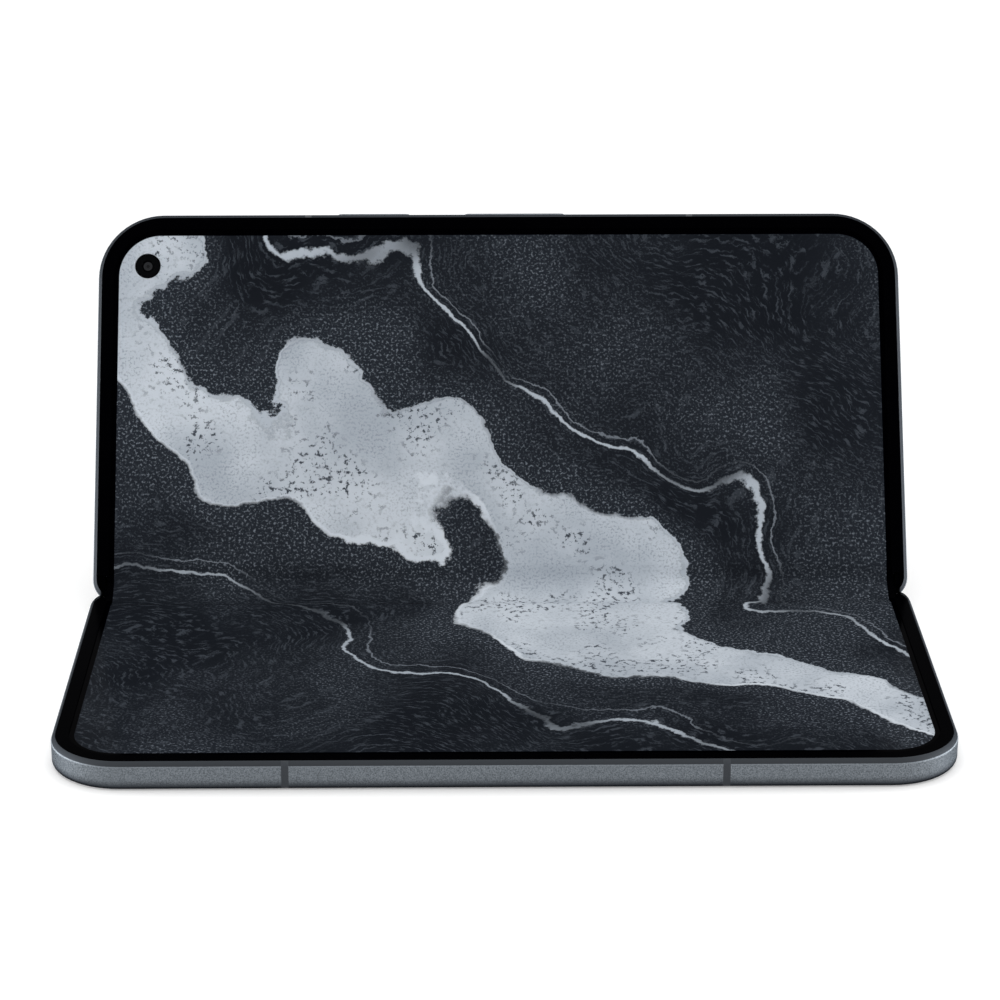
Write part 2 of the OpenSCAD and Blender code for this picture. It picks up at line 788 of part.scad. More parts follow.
// Plate that carries the bend of the screen and sinks away as the phone shuts
module support_plate() color("#6d7176")
    translate([0, wing_y, wing_z]) rotate([wing_tilt, 0, 0]) translate([0, -wing_y, -wing_z])
        difference() {
            union() {
                translate([-wing_x, wing_y0, wing_z + wing_pin_r - wing_t])
                    cube([2 * wing_x, wing_y - wing_y0, wing_t]);
                translate([0, wing_y, wing_z]) rotate([0, 90, 0])
                    cylinder(r = wing_pin_r, h = 2 * (cavity_x + wing_pin_in), center = true);
            }
            for (x = [-hinge_x, hinge_x])
                translate([x - wing_window_x, wing_y0 - 1, plate_low - 1])
                    cube([2 * wing_window_x, wing_window_y - wing_y0 + 1, 3]);
        }

module base_support_plate() place_base() support_plate();
module lid_support_plate() place_lid() support_plate();

// ---------- outside face of the lower half: the outer display ----------

cover_camera_y = half_len - 7.5;
cover_camera_r = 1.9;
cover_camera_w = 6.5;
// The lens sits off the middle of its square module
cover_camera_off = 1;
cover_panel_t = 0.5;
cover_panel_y0 = boss_y1 + 0.4;

module face_glass()
    slab(0, glass_t) half_outline(glass_edge, glass_y);

module cover_glass() color("#101216") place_base() face_glass();

module cover_display() color("#1b1e24") place_base()
    difference() {
        slab(glass_t, glass_t + cover_panel_t) half_outline(rail_w + 1, cover_panel_y0);
        translate([0, cover_camera_y, 0]) cylinder(r = cover_camera_r + 0.3, h = 2);
    }

module cover_camera() color(black) place_base()
    translate([0, cover_camera_y - cover_camera_off, 0]) {
        slab(glass_t + cover_panel_t, plate_low - seat_gap)
            square([cover_camera_w, cover_camera_w], center = true);
        translate([0, cover_camera_off, 0])
            difference() {
                slab(glass_t, glass_t + cover_panel_t + weld) circle(cover_camera_r);
                translate([0, 0, glass_t - 0.05]) cylinder(r1 = 1.1, r2 = 0.5, h = 0.4);
            }
    }

// ---------- inside the lower half ----------

base_floor = glass_t + cover_panel_t + seat_gap;
battery_top = plate_low - lay_gap;
board_low = plate_low - lay_gap - board_t;
board_bore = 0.7;
board_bore_in = 2.2;
can_wall = 0.2;
battery_y0 = boss_y1 + 1.2;

// Foil pouch with rounded long edges and a folded seam along one end
module battery(x, y0, l)
    translate([x, y0 + l / 2, battery_top - battery_t]) {
        along_x(-battery_w / 2, battery_w / 2)
            translate([0, battery_t / 2]) rounded_rect(l, battery_t, battery_t / 2 - 0.3);
        translate([-battery_w / 2 - 1.6, -l / 2 + 2, battery_t / 2 - 0.2]) cube([1.7, l - 4, 0.4]);
    }

base_battery_x = -4;
base_battery_l = cover_camera_y - cover_camera_off - cover_camera_w / 2 - 0.5 - battery_y0;

module base_battery() color(foil) place_base() battery(base_battery_x, battery_y0, base_battery_l);

// Board with mounting holes
module board(x0, x1, y0, y1, z)
    difference() {
        translate([0, 0, z]) linear_extrude(board_t)
            translate([(x0 + x1) / 2, (y0 + y1) / 2]) rounded_rect(x1 - x0, y1 - y0, 1.5);
        for (x = [x0 + board_bore_in, x1 - board_bore_in], y = [y0 + board_bore_in, y1 - board_bore_in])
            translate([x, y, z - 1]) cylinder(r = board_bore, h = board_t + 2);
    }

// Pressed shield can, open underneath, with rounded corners
module shield_can(x, y, w, l, z0, z1)
    translate([x, y, z0])
        difference() {
            linear_extrude(z1 - z0) rounded_rect(w, l, 1);
            translate([0, 0, -1]) linear_extrude(z1 - z0 + 1 - can_wall)
                rounded_rect(w - 2 * can_wall, l - 2 * can_wall, 1 - can_wall);
        }

base_speaker_w = 4;
earpiece_w = 7;
base_speaker_l = 12;
base_board_x0 = base_battery_x + battery_w / 2 + 6;
base_board_x1 = cavity_x - base_speaker_w - 2 * seat_gap;
base_board_y0 = 15;
base_board_y1 = tray_y - tray_w / 2 - reader_wall - 2.2;
base_can_w = 15;
base_can_l = 13;

module base_board() color(green) place_base()
    board(base_board_x0, base_board_x1, base_board_y0, base_board_y1, board_low);

module base_shield() color(steel) place_base()
    shield_can((base_board_x0 + base_board_x1) / 2, (base_board_y0 + base_board_y1) / 2,
        base_can_w, base_can_l, base_floor + seat_gap, board_low);

speaker_slot_l = 6;
speaker_slot_h = 1.4;

// Speaker box against the right-hand rail, with a radiating slot towards the sound holes
module speaker(w, y, l, z0) {
    x1 = cavity_x - seat_gap;
    x0 = cavity_x - w;
    difference() {
        translate([(x0 + x1) / 2, y, z0]) linear_extrude(plate_low - lay_gap - z0)
            rounded_rect(x1 - x0, l, 1);
        translate([x1 - 0.6, y - speaker_slot_l / 2, z0 + 0.6]) cube([2, speaker_slot_l, speaker_slot_h]);
    }
}

module base_speaker() color(dark) place_base()
    speaker(base_speaker_w, base_sound_y, base_speaker_l, base_floor);

module earpiece() color(dark) place_base() mirror([1, 0, 0])
    speaker(earpiece_w, base_sound_y, base_speaker_l, base_floor);

// ---------- SIM tray ----------

module tray_face_section() rounded_rect(tray_w + tray_face_more, tray_face_h, tray_face_h / 2 - 0.01);

module sim_tray() color(graphite) place_base() {
    translate([body_w / 2 - tray_face_t, tray_y, tray_z]) rotate([90, 0, 90])
        difference() {
            linear_extrude(tray_face_t) tray_face_section();
            translate([tray_w / 2 - eject_in, 0, -1]) cylinder(r = eject_r, h = tray_face_t + 2);
        }
    difference() {
        translate([body_w / 2 - tray_face_t - tray_l, tray_y - tray_w / 2, tray_z - tray_t / 2])
            cube([tray_l + weld, tray_w, tray_t]);
        // nest for the card, with one cut corner
        translate([body_w / 2 - tray_face_t - tray_l + card_rim, tray_y, tray_z - tray_t])
            linear_extrude(2 * tray_t)
                polygon([[0, -card_l / 2], [card_w, -card_l / 2], [card_w, card_l / 2],
                    [card_cut, card_l / 2], [0, card_l / 2 - card_cut]]);
    }
}

// Sheet metal cage round the tray
module sim_reader() color(steel) place_base() {
    x0 = body_w / 2 - tray_face_t - tray_l - tray_end_gap - reader_back;
    w = tray_w + 2 * reader_wall;
    z0 = base_floor;
    z1 = plate_low - lay_gap;
    difference() {
        translate([x0, tray_y - w / 2, z0]) cube([cavity_x - seat_gap - x0, w, z1 - z0]);
        translate([x0 + reader_back, tray_y - tray_w / 2 - slot_gap, tray_z - tray_t / 2 - slot_gap])
            cube([tray_l + tray_face_t + rail_w, tray_w + 2 * slot_gap, tray_t + 2 * slot_gap]);
    }
}

// ---------- outside face of the upper half: glass and camera bump ----------

module bump_outline(inset)
    translate([bump_x, bump_y]) rounded_rect(bump_w - 2 * inset, bump_l - 2 * inset, bump_corner - inset);

module back_glass() color("#3a3e42") place_lid()
    difference() {
        face_glass();
        slab(-1, 1) bump_outline(0.35);
    }

module camera_bump() color(graphite) place_lid()
    difference() {
        union() {
            slab(-bump_h + bump_bevel, 0) bump_outline(0);
            slab(-bump_h, -bump_h + bump_bevel + weld) bump_outline(bump_bevel);
            // bevel round the rim
            translate([bump_x, bump_y, 0])
                for (q = [0 : 3]) {
                    w = q % 2 == 0 ? bump_w : bump_l;
                    l = q % 2 == 0 ? bump_l : bump_w;
                    rotate([0, 0, 90 * q]) {
                        translate([w / 2 - bump_corner, l / 2 - bump_corner, 0])
                            rotate_extrude(angle = 90) translate([bump_corner, 0]) bevel_section();
                        translate([w / 2, 0, 0]) along_y(-l / 2 + bump_corner, l / 2 - bump_corner)
                            bevel_section();
                    }
                }
            slab(-weld, glass_t) bump_outline(0.4);
        }
        for (p = lens_spots)
            translate([bump_x + p[0], bump_y + p[1], -bump_h - 1]) cylinder(r = lens_r, h = 9);
        translate([bump_x + flash_spot[0], bump_y + flash_spot[1], -bump_h - 1])
            cylinder(r = flash_r, h = 9);
        translate([bump_x + flash_spot[0], bump_y + flash_spot[1] + 5, -bump_h - 1])
            cylinder(r = 0.4, h = 2);
    }

module bevel_section()
    polygon([[-bump_bevel - weld, -bump_h], [-bump_bevel, -bump_h], [0, -bump_h + bump_bevel],
        [0, -bump_h + bump_bevel + weld], [-bump_bevel - weld, -bump_h + bump_bevel + weld]]);

module lens_rings() color(steel) place_lid()
    for (p = lens_spots) translate([bump_x + p[0], bump_y + p[1], 0])
        rotate_extrude()
            polygon([[lens_r - ring_w, -bump_h - ring_h + 0.15], [lens_r - ring_w + 0.15, -bump_h - ring_h],
                [lens_r - 0.25, -bump_h - ring_h], [lens_r - fit_gap, -bump_h - ring_h + 0.2],
                [lens_r - fit_gap, -bump_h + 1.2], [lens_r - ring_w, -bump_h + 1.2]]);

module lens_windows() color("#101216") place_lid()
    for (p = lens_spots) translate([bump_x + p[0], bump_y + p[1], window_low])
        cylinder(r = lens_r - ring_w - fit_gap, h = window_t);

// Camera modules: square body under the frame's plate and a stepped barrel behind the window
module rear_cameras() color(black) place_lid()
    for (p = lens_spots) translate([bump_x + p[0], bump_y + p[1], 0]) {
        slab(glass_t + 0.2, plate_low - lay_gap) square([module_w, module_w], center = true);
        difference() {
            union() {
                slab(-0.8, glass_t + 0.3) circle(4.6);
                slab(window_low + window_t + seat_gap, -0.7) circle(3.8);
            }
            translate([0, 0, window_low + window_t]) cylinder(r1 = 2.9, r2 = 1.4, h = 1.1);
        }
    }

module flash_window() color("#f2efe4") place_lid()
    translate([bump_x + flash_spot[0], bump_y + flash_spot[1], 0])
        slab(-bump_h - 0.05, -bump_h + 0.6) circle(flash_r - fit_gap);

module flash_led() color("#e8c95a") place_lid()
    translate([bump_x + flash_spot[0], bump_y + flash_spot[1], 0]) {
        slab(-bump_h + 1, plate_low - lay_gap) square([2.8, 2.8], center = true);
        slab(-bump_h + 0.65, -bump_h + 1.1) square([1.8, 1.8], center = true);
    }

// ---------- camera behind the screen ----------

module inner_camera() color(black) place_lid()
    translate([punch_x, punch_y, 0])
        difference() {
            union() {
                slab(1.1, plate_low - lay_gap) rounded_rect(7.4, 7.4, 1);
                slab(plate_low - weld, screen_top - 0.1) circle(punch_r - punch_gap);
            }
            translate([0, 0, screen_top - 0.6]) cylinder(r1 = 0.9, r2 = 1.25, h = 0.6);
        }

module inner_camera_lens() color("#20242c") place_lid()
    translate([punch_x, punch_y, 0])
        slab(screen_top - 0.6, screen_top - 0.35) circle(0.88);

// ---------- inside the upper half ----------

lid_battery_x = 13;
main_x1 = lid_battery_x - battery_w / 2 - 4.5;
main_y0 = boss_y1 + 0.8;
coil_t = 0.35;
lid_floor = glass_t + coil_t + seat_gap;
main_y1 = bump_y - bump_l / 2 - 1.5;

module main_board() color(green) place_lid()
    board(-cavity_x + 1.5, main_x1, main_y0, main_y1, board_low);

// A large and a small can side by side on the main board
can_l = 18;
can_w = [19, 12];
can_gap = 3;

module main_shield() color(steel) place_lid() {
    x0 = (-cavity_x + main_x1 - can_w[0] - can_gap - can_w[1]) / 2;
    y = (main_y0 + main_y1) / 2;
    shield_can(x0 + can_w[0] / 2, y, can_w[0], can_l, lid_floor, board_low);
    shield_can(x0 + can_w[0] + can_gap + can_w[1] / 2, y, can_w[1], can_l, lid_floor + 0.5, board_low);
}

lid_battery_l = half_len - switch_d - switch_t - strip_t - 4.2 - battery_y0;

module lid_battery() color(foil) place_lid() battery(lid_battery_x, battery_y0, lid_battery_l);

coil_r = 20.6;
coil_turns = 7;
coil_step = 1.5;
coil_wire = 1.2;

// Flat winding behind the back glass
module charging_coil() color("#b5713a") place_lid()
    translate([lid_battery_x - 8, battery_y0 + lid_battery_l / 2 + 2, glass_t]) {
        for (i = [0 : coil_turns - 1])
            difference() {
                cylinder(r = coil_r - i * coil_step, h = coil_t - seat_gap);
                translate([0, 0, -1]) cylinder(r = coil_r - i * coil_step - coil_wire, h = 2);
            }
        translate([0, -coil_wire / 2, coil_t - 0.15]) cube([coil_r, coil_wire, 0.15]);
    }

// ---------- buttons on the upper half's outer edge ----------

module button_shape(l, grow) rounded_rect(l + 2 * grow, button_h + 2 * grow, button_h / 2 + grow - 0.01);

// Stretches a drawing of a button's face (x, z) from one depth to another below the edge
module edge_run(x, d0, d1)
    translate([x, half_len - d1, button_z]) rotate([90, 0, 0]) mirror([0, 0, 1])
        linear_extrude(d1 - d0) children();

module button_slot(x, l) {
    edge_run(x, -1, rail_w + 1) button_shape(l, slot_gap);
    edge_run(x, flange_in - pocket_gap, rail_w + 1) button_shape(l, flange_more + slot_gap);
}

module button_body(x, l, throw) {
    edge_run(x, -button_proud + crown_t, flange_in + weld) button_shape(l, 0);
    edge_run(x, -button_proud, -button_proud + crown_t) button_shape(l, -crown_in);
    edge_run(x, flange_in, flange_in + flange_t) button_shape(l, flange_more);
    for (s = throw > 0 ? [-1, 1] : [0])
        edge_run(x + s * throw, flange_in, rail_w + pusher_more) circle(pusher_r);
}

module power_button() color(graphite) place_lid() button_body(power_x, power_l, 0);
module volume_rocker() color(graphite) place_lid() button_body(volume_x, volume_l, rocker_throw);

// Dome switches on a strip behind the buttons
module button_switches() color(brassy) place_lid() {
    for (x = [power_x, volume_x - rocker_throw, volume_x + rocker_throw]) {
        edge_run(x, switch_d, switch_d + switch_t) circle(switch_r);
        edge_run(x, switch_d - dome_h, switch_d + weld) circle(dome_r);
    }
    edge_run((power_x + volume_x) / 2, switch_d + switch_t - weld, switch_d + switch_t + strip_t)
        square([volume_x - power_x + volume_l + 2 * strip_end, strip_h], center = true);
}

// ---------- lower part of the upper half: port, speaker and motor ----------

module usb_shape(grow) rounded_rect(usb_w + 2 * grow, usb_h + 2 * grow, usb_h / 2 + grow - 0.01);

module usb_socket() color(steel) place_lid()
    translate([body_w / 2 - usb_in - usb_l, usb_y, usb_z]) rotate([90, 0, 90]) {
        difference() {
            linear_extrude(usb_l) usb_shape(usb_wall);
            translate([0, 0, 0.8]) linear_extrude(usb_l) usb_shape(0);
        }
        translate([0, 0, 0.4]) linear_extrude(usb_l - 1.2) square([6.2, 0.7], center = true);
    }

port_x0 = lid_battery_x + battery_w / 2 + 2.5;
lid_speaker_w = cavity_x - port_x0 - 3;
lid_speaker_l = 13.5;
// Gap from the port board to the parts that it goes round
port_gap = 0.5;
motor_r = 4;
motor_off = 2.45;
motor_x = (port_x0 + cavity_x) / 2 - motor_off;
motor_y = 22;

module port_board() color(green) place_lid()
    difference() {
        board(port_x0, cavity_x - 0.8, boss_y1 + 1, half_len - 12, board_low);
        translate([body_w / 2 - usb_in - usb_l - 0.4, usb_y - usb_w / 2 - 0.6, 0])
            cube([usb_l, usb_w + 1.2, thick]);
        translate([cavity_x - lid_speaker_w - port_gap, lid_sound_y - lid_speaker_l / 2 - port_gap, 0])
            cube([lid_speaker_w + 2 * port_gap, half_len, thick]);
    }

module lid_speaker() color(dark) place_lid()
    speaker(lid_speaker_w, lid_sound_y, lid_speaker_l, glass_t + seat_gap);

module vibration_motor() color(steel) place_lid()
    translate([motor_x, motor_y, 0]) {
        slab(glass_t + seat_gap, board_low - lay_gap) circle(motor_r);
        slab(board_low - 0.35, board_low) square([motor_r + 1, 2 * motor_r + 1.4], center = true);
    }

// ---------- what is drawn ----------

base_frame();
place_base() antenna_breaks();  // base_antenna_breaks
base_bezel();
base_screen();
screen_fold();
cover_glass();
cover_display();
cover_camera();
base_battery();
base_board();
base_shield();
base_speaker();
earpiece();
sim_tray();
sim_reader();
base_swing_arms();
base_arm_screws();
base_support_plate();
spine_cover();
spine_end_caps();
hinge_housings();
base_sync_gears();
lid_sync_gears();
lid_frame();
place_lid() antenna_breaks();  // lid_antenna_breaks
lid_bezel();
lid_screen();
back_glass();
camera_bump();
lens_rings();
lens_windows();
rear_cameras();
flash_window();
flash_led();
inner_camera();
inner_camera_lens();
main_board();
main_shield();
lid_battery();
charging_coil();
lid_swing_arms();
lid_arm_screws();
lid_support_plate();
power_button();
volume_rocker();
button_switches();
usb_socket();
port_board();
lid_speaker();
vibration_motor();
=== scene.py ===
"""Looks of a folding phone that stands half open on its lower half.

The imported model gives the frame: metres, X along the hinge, Y from the front edge towards the
hinge, Z up. Finishes are procedural and drawn in millimetres, in the flat space of the half that
they lie on. The bending screen is built here as two sheets, because its solid can't bend.
"""

import json
import math

import bmesh
import bpy
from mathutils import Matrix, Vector

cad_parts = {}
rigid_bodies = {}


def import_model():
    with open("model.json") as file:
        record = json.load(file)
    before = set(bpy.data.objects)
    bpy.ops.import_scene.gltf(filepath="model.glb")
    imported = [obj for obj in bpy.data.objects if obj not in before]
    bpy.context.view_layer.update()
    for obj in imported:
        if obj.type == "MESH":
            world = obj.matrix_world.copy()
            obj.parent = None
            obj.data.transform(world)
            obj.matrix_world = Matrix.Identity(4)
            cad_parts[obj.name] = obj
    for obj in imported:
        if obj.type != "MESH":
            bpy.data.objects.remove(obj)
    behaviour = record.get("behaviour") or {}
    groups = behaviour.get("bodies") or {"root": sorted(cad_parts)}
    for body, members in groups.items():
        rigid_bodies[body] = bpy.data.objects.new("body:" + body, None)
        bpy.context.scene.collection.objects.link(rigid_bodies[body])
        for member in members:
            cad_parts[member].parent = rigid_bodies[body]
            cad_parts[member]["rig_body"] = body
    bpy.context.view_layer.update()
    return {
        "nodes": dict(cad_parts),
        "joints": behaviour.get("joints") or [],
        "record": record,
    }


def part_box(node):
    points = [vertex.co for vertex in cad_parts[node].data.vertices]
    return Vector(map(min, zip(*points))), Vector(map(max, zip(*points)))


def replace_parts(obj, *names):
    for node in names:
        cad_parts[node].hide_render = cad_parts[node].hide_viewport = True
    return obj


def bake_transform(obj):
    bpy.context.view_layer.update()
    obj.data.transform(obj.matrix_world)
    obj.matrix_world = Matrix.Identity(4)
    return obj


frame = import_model()
scene = bpy.context.scene

MM = 0.001

# ---------- measures taken from the frame ----------

joints = {joint["name"]: joint for joint in frame["joints"]}
base_axis = Vector(joints["base_hinge"]["pos_m"])
lid_axis = Vector(joints["lid_hinge"]["pos_m"])
between_axes = lid_axis - base_axis
tilt = math.atan2(between_axes.z, between_axes.y)
axis_y = between_axes.length / 2

frame_low, frame_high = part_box("base_frame")
screen_low, screen_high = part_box("base_screen")
hinge_plane = base_axis.y + axis_y
half_len = hinge_plane - frame_low.y
body_half = frame_high.x
screen_half = screen_high.x
screen_reach = hinge_plane - screen_low.y
screen_top = screen_high.z - base_axis.z
screen_bottom = screen_low.z - base_axis.z

# ---------- the screen's two sheets ----------

BEND_L = 6 * MM                 # the screen bends between the hinge plane and here
BEND_CUTS = 36                  # cuts across it, so that it bends smoothly
BEND_CUT_REACH = 1.15           # how far they go, in lengths of the bend
SETTLE_ROUNDS = 30              # rounds in which a point settles on its share of the turn
CORNER_R = 12.6 * MM            # corners of the frame, in plan
CORNER_SIDES = 24               # sides of a corner's arc
PUNCH_R = 2.5 * MM              # hole in the screen for the inner camera
PUNCH_SIDES = 48
PUNCH_IN = Vector((9.55, 10.33)) * MM   # its centre, from the frame's side and outer edge
WELD = 1e-6                     # points closer than this are one
SHARP_ANGLE = 35                # degrees; sharper edges stay crisp

# ---------- the display's picture ----------

BORDER_SIDE = 4.04              # black border of the display, from the frame's side, mm
BORDER_END = 4.32               # the same from the frame's outer edges
DISPLAY_R = 8.1                 # corners of the display, mm
DISPLAY_SOFT = 0.05             # its edge softens this far each way, mm
PICTURE_UNIT = 75               # mm, about one half's length: the picture is drawn in shares of it
STRATA_NORMAL = (0.62, 0.78, 0)
STRATA_RUN = (0.78, -0.62, 0)
# Pale band and veins, by their place across the strata
PALE_BAND = (-0.03, 0.17)
BAND_RISE = (-0.004, 0.004)     # how its two edges soften
BAND_FALL = (0.012, -0.006)
# Each vein: place, half its width, colour
VEINS = ((-0.03, 0.012, "#c3cad2"), (0.175, 0.006, "#a9b1ba"), (-0.42, 0.010, "#9aa2ab"),
         (0.43, 0.011, "#a6aeb7"), (0.47, 0.004, "#6a7078"), (-0.36, 0.004, "#666c74"))

# ---------- the frame's metal, mm ----------

RIM_H = 0.78                    # height of the matt bevel round the lip
# Where bands of the finish begin and end: steps from the bevel's foot,
BEVEL_FADE = (-0.02, 0.06)
PAINTED_GLINT_RISE = (-0.26, -0.12)      # painted highlight: the pale line under the bevel
PAINTED_GLINT_FALL = (0.02, -0.04)
MATT_FADE = (-0.34, -0.2)
# from the frame's back,
FOOT_SHADE_RISE = (0.01, 0.08)       # painted shade, darker towards the foot of the wall
FOOT_SHADE_FALL = (2.2, 0.3)
HINGE_SHADE_RISE = (0.2, 0.5)        # painted shade, near black, in the pocket at the hinge
# from the wall's face and from the hinge's axis
HINGE_SHADE_IN = (-1.4, -1.7)
HINGE_SHADE_REACH = (3.0, 2.4)
PAINTED_GLINT_SHARE = 0.4                # how much of the painted highlight under the bevel shows
WALL_ROUGHNESS, BEVEL_ROUGHNESS = 0.48, 0.68
EDGE_TINT = (0.12, 0.12, 0.125, 1)  # dulls the anodised metal where it is seen edge on

NOISE_SPAN = (0.3, 0.7)         # most of a noise pattern lies between these values
BEVEL_SAMPLES = 6

# ---------- camera ----------

CAMERA_AT = Vector((-6.15, -501.39, 225.41)) * MM
CAMERA_DOWN = 20.52             # degrees below the horizon
CAMERA_TURN = -0.635            # degrees from +Y, negative towards +X
CAMERA_SENSOR = 36              # mm, with the lens below
CAMERA_LENS = 110.12
CAMERA_CLIP = (0.01, 20)        # nearest and farthest that it sees, m

# ---------- light and floor ----------

SIDE_TARGET, SIDE_WIDTH, SIDE_HEIGHT, SIDE_POWER = (0, -0.03, 0.01), 0.24, 0.05, 1.1
# Softboxes: name, place, what it faces, width and height, in metres, and power in watts
SOFTBOXES = (
    ("overhead", (0, 0.25, 1.5), (0, 0.15, 0), 2.2, 1.8, 15),
    ("left", (-0.33, -0.01, 0.028), SIDE_TARGET, SIDE_WIDTH, SIDE_HEIGHT, SIDE_POWER),
    ("right", (0.33, -0.01, 0.028), SIDE_TARGET, SIDE_WIDTH, SIDE_HEIGHT, SIDE_POWER))
AMBIENT = 0.55                  # strength of the world as light
BACKDROP = 1.0                  # and where it is seen
FLOOR_REACH = 4.0               # m
FLOOR_AT = -0.02 * MM           # height, just clear of the part
FLOOR_ALBEDO = 0.9
FLOOR_ROUGHNESS = 0.9
# Light that the floor adds where it is seen, so that it stays white where the lamps don't reach
FLOOR_LIFT_FROM, FLOOR_LIFT_TO = 0.3, 1.2       # m from the middle
FLOOR_LIFT_NEAR, FLOOR_LIFT_FAR = 0.18, 0.6
WHITE = (1, 1, 1, 1)


def colour(code):
    """A linear colour from its usual hexadecimal code."""
    parts = [int(code[i:i + 2], 16) / 255 for i in (1, 3, 5)]
    return [p / 12.92 if p < 0.04045 else ((p + 0.055) / 1.055) ** 2.4 for p in parts] + [1.0]


def socket_of(sockets, identifier):
    return next(socket for socket in sockets if socket.identifier == identifier)


# ---------- nodes ----------

class Nodes:
    """Short calls for the nodes of a material or the world."""

    def __init__(self, tree):
        self.tree = tree

    def node(self, kind, **settings):
        made = self.tree.nodes.new("ShaderNode" + kind)
        for key, value in settings.items():
            setattr(made, key, value)
        return made

    def put(self, socket, value):
        """Gives a socket another node's output, a number, a vector or a colour or its code."""
        if isinstance(value, bpy.types.NodeSocket):
            self.tree.links.new(value, socket)
        else:
            socket.default_value = colour(value) if isinstance(value, str) else value

    def put_all(self, node, values):
        for socket, value in zip(node.inputs, values):
            self.put(socket, value)

    def math(self, operation, *values):
        made = self.node("Math", operation=operation)
        self.put_all(made, values)
        return made.outputs[0]

    def times(self, first, *others):
        for other in others:
            first = self.math("MULTIPLY", first, other)
        return first

    def vector(self, operation, *values):
        made = self.node("VectorMath", operation=operation)
        self.put_all(made, values)
        return made.outputs["Value" if operation in ("LENGTH", "DOT_PRODUCT") else "Vector"]

    def part(self, vector, axis):
        made = self.node("SeparateXYZ")
        self.put_all(made, [vector])
        return made.outputs[axis]

    def join(self, x, y):
        made = self.node("CombineXYZ")
        self.put_all(made, (x, y))
        return made.outputs[0]

    def between(self, value, low, high, start=0.0, end=1.0):
        """Goes smoothly from start to end as value goes from low to high."""
        made = self.node("MapRange", interpolation_type="SMOOTHSTEP")
        self.put_all(made, (value, low, high, start, end))
        return made.outputs[0]

    def past(self, value, place, steps, start=0.0, end=1.0):
        """The same, with low and high given as steps from a place."""
        return self.between(value, place + steps[0], place + steps[1], start, end)

    def spread(self, pattern, start=0.0, end=1.0):
        """Goes from start to end over the span that a noise pattern has."""
        return self.between(pattern, *NOISE_SPAN, start, end)

    def swing(self, pattern, reach):
        """A noise pattern moved to lie about zero, and scaled."""
        return self.times(self.math("SUBTRACT", pattern, 0.5), reach)

    def mix(self, share, a, b):
        made = self.node("Mix", data_type="RGBA")
        for identifier, value in (("Factor_Float", share), ("A_Color", a), ("B_Color", b)):
            self.put(socket_of(made.inputs, identifier), value)
        return socket_of(made.outputs, "Result_Color")

    def ramp(self, value, stops):
        made = self.node("ValToRGB")
        band = made.color_ramp
        while len(band.elements) < len(stops):
            band.elements.new(1.0)
        for element, (position, code) in zip(band.elements, stops):
            element.position = position
            element.color = colour(code)
        self.put_all(made, [value])
        return made.outputs["Color"]

    def seen_directly(self):
        """1 for rays that show the backdrop: those of the camera, of gloss and of clear glass."""
        path = self.node("LightPath")
        total = path.outputs["Is Camera Ray"]
        for name in ("Is Glossy Ray", "Is Transmission Ray"):
            total = self.math("MAXIMUM", total, path.outputs[name])
        return total


class Surface(Nodes):
    """A material with its shader."""

    def __init__(self, name):
        self.material = bpy.data.materials.new(name)
        self.material.use_nodes = True
        super().__init__(self.material.node_tree)
        self.shader = self.tree.nodes["Principled BSDF"]

    def surface(self, **values):
        for name, value in values.items():
            self.put(self.shader.inputs[name.replace("_", " ")], value)


class Finish(Surface):
    """A material whose pattern is drawn in millimetres, in the flat space of one half."""

    def __init__(self, name, origin, slope):
        super().__init__(name)
        mapping = self.node("Mapping", vector_type="TEXTURE")
        self.put(mapping.inputs["Vector"], self.node("TexCoord").outputs["Object"])
        self.put(mapping.inputs["Location"], origin)
        self.put(mapping.inputs["Rotation"], (slope, 0, 0))
        self.put(mapping.inputs["Scale"], (MM, MM, MM))
        self.at = mapping.outputs["Vector"]

    def noise(self, scale, detail=2.0, roughness=0.5, at=None):
        made = self.node("TexNoise")
        self.put(made.inputs["Vector"], self.at if at is None else at)
        self.put(made.inputs["Scale"], scale)
        self.put(made.inputs["Detail"], detail)
        self.put(made.inputs["Roughness"], roughness)
        return made.outputs["Fac"]

    def cells(self, scale, feature="F1"):
        made = self.node("TexVoronoi", feature=feature)
        self.put(made.inputs["Vector"], self.at)
        self.put(made.inputs["Scale"], scale)
        return made.outputs["Distance"]

    def relief(self, height, depth, edge=0.0):
        """Bump of a depth in millimetres, over edges that are rounded by edge millimetres."""
        bump = self.node("Bump")
        self.put(bump.inputs["Strength"], 1.0)
        self.put(bump.inputs["Distance"], depth * MM)
        self.put(bump.inputs["Height"], height)
        if edge:
            bevel = self.node("Bevel", samples=BEVEL_SAMPLES)
            self.put(bevel.inputs["Radius"], edge * MM)
            self.put(bump.inputs["Normal"], bevel.outputs[0])
        self.surface(Normal=bump.outputs[0])


# ---------- finishes, one for each material slot of the record ----------

def grained(f, grain, dark, pale, roughness, depth, edge=0.0, **constants):
    """Colour and relief that follow one grain, and roughness too where it is a pair."""
    if isinstance(roughness, tuple):
        roughness = f.spread(grain, *roughness)
    f.surface(Base_Color=f.mix(grain, dark, pale), Roughness=roughness, **constants)
    f.relief(grain, depth, edge)


def painted_hinge_shade(f, height, back):
    """1 inside the frame's sides by the hinge, where shade is painted in near black."""
    wall = f.math("ABSOLUTE", f.part(f.at, "X"))
    from_axis = f.math("ABSOLUTE", f.part(f.at, "Y"))
    return f.times(f.past(wall, body_half / MM, HINGE_SHADE_IN), f.between(from_axis, *HINGE_SHADE_REACH),
                   f.past(height, back, HINGE_SHADE_RISE))


